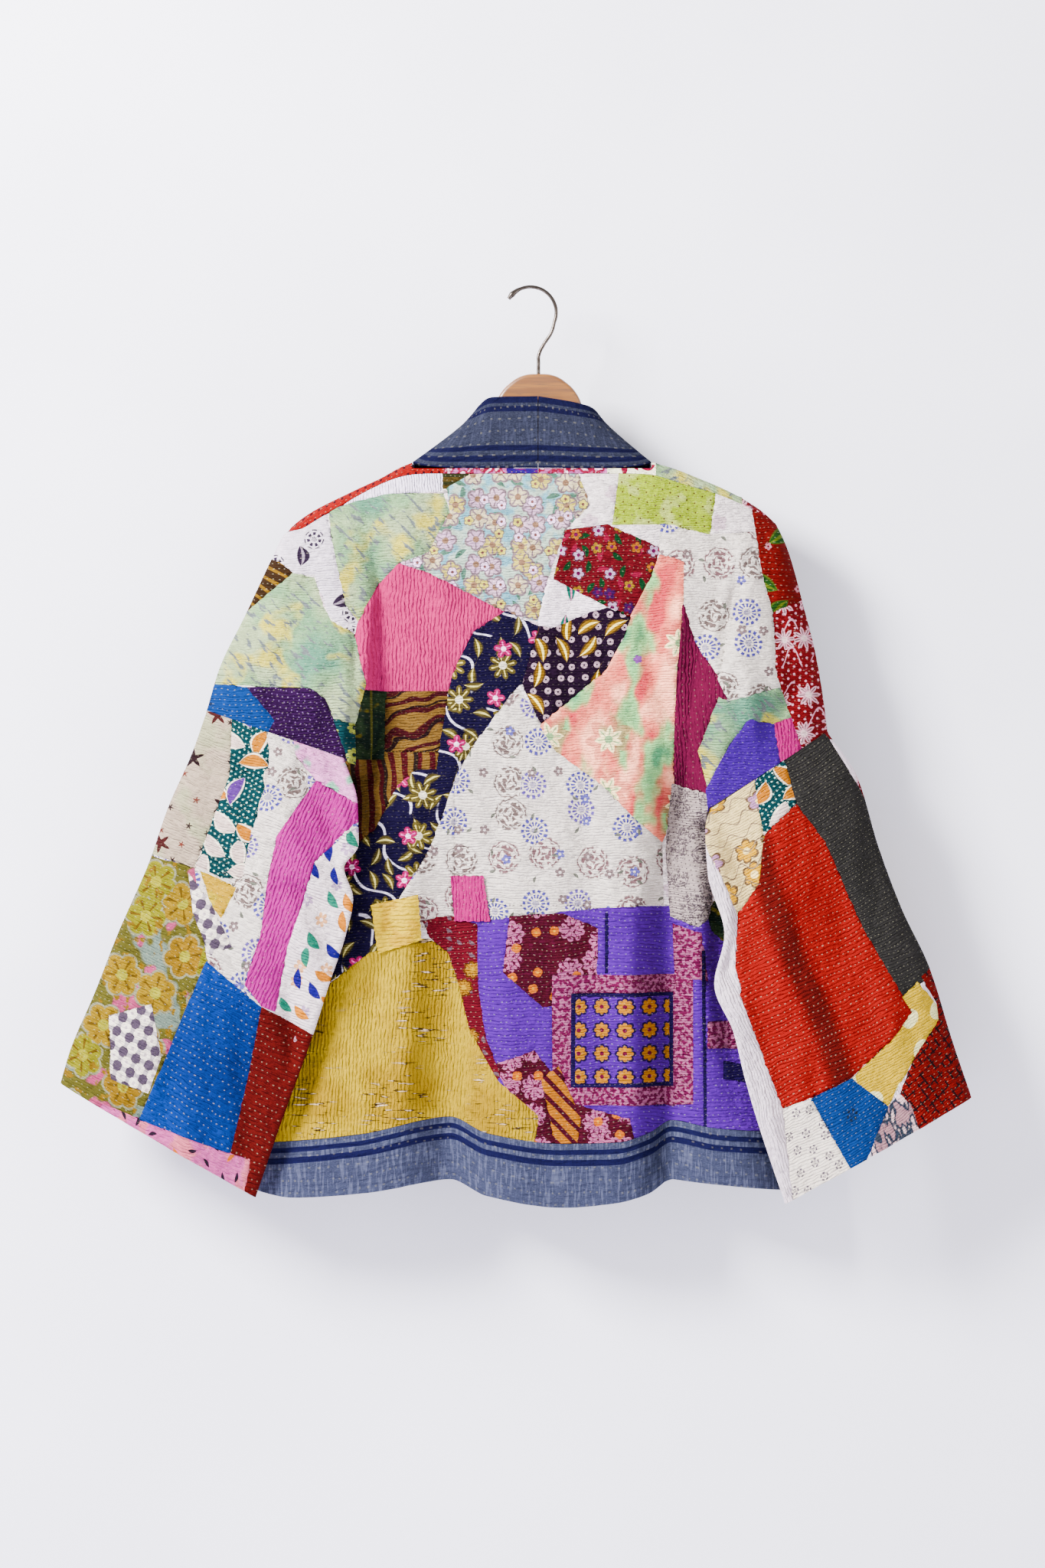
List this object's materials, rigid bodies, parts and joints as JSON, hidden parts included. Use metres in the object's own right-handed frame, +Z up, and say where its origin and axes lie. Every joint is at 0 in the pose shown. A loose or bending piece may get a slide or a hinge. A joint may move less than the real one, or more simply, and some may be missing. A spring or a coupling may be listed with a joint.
{
  "type": "kantha jacket on hanger",
  "caption": "Hip-length patchwork kantha jacket with wide sleeves, striped neckband and hem, hanging open on a wooden hanger with a metal hook.",
  "frame": {"origin": "underside of the crown of the hanger's hook, where it hangs", "axes": "+Z up, the jacket's back faces -Y and its open fronts face +Y, +X to the right seen from the back"},
  "size_m": [0.8238, 0.1041, 0.8353],
  "materials": {
    "quilt": "hand-quilted cotton patchwork with white running stitch",
    "handloom": "indigo-grey slubbed handloom with navy stripes",
    "square_yellow": "pale yellow cotton",
    "square_pink": "pink cotton",
    "wood": "lacquered honey-coloured wood",
    "steel": "dark polished wire"
  },
  "bodies": {
    "root": {"back_panel": "quilt", "hem_back": "handloom", "front_left": "quilt", "front_right": "quilt", "hem_front_left": "handloom", "hem_front_right": "handloom", "sleeve_left": "quilt", "sleeve_right": "quilt", "collar_left": "handloom", "collar_right": "handloom", "patch_yellow": "square_yellow", "patch_pink": "square_pink", "hanger_wood": "wood", "hanger_hook": "steel"}
  },
  "joints": []
}
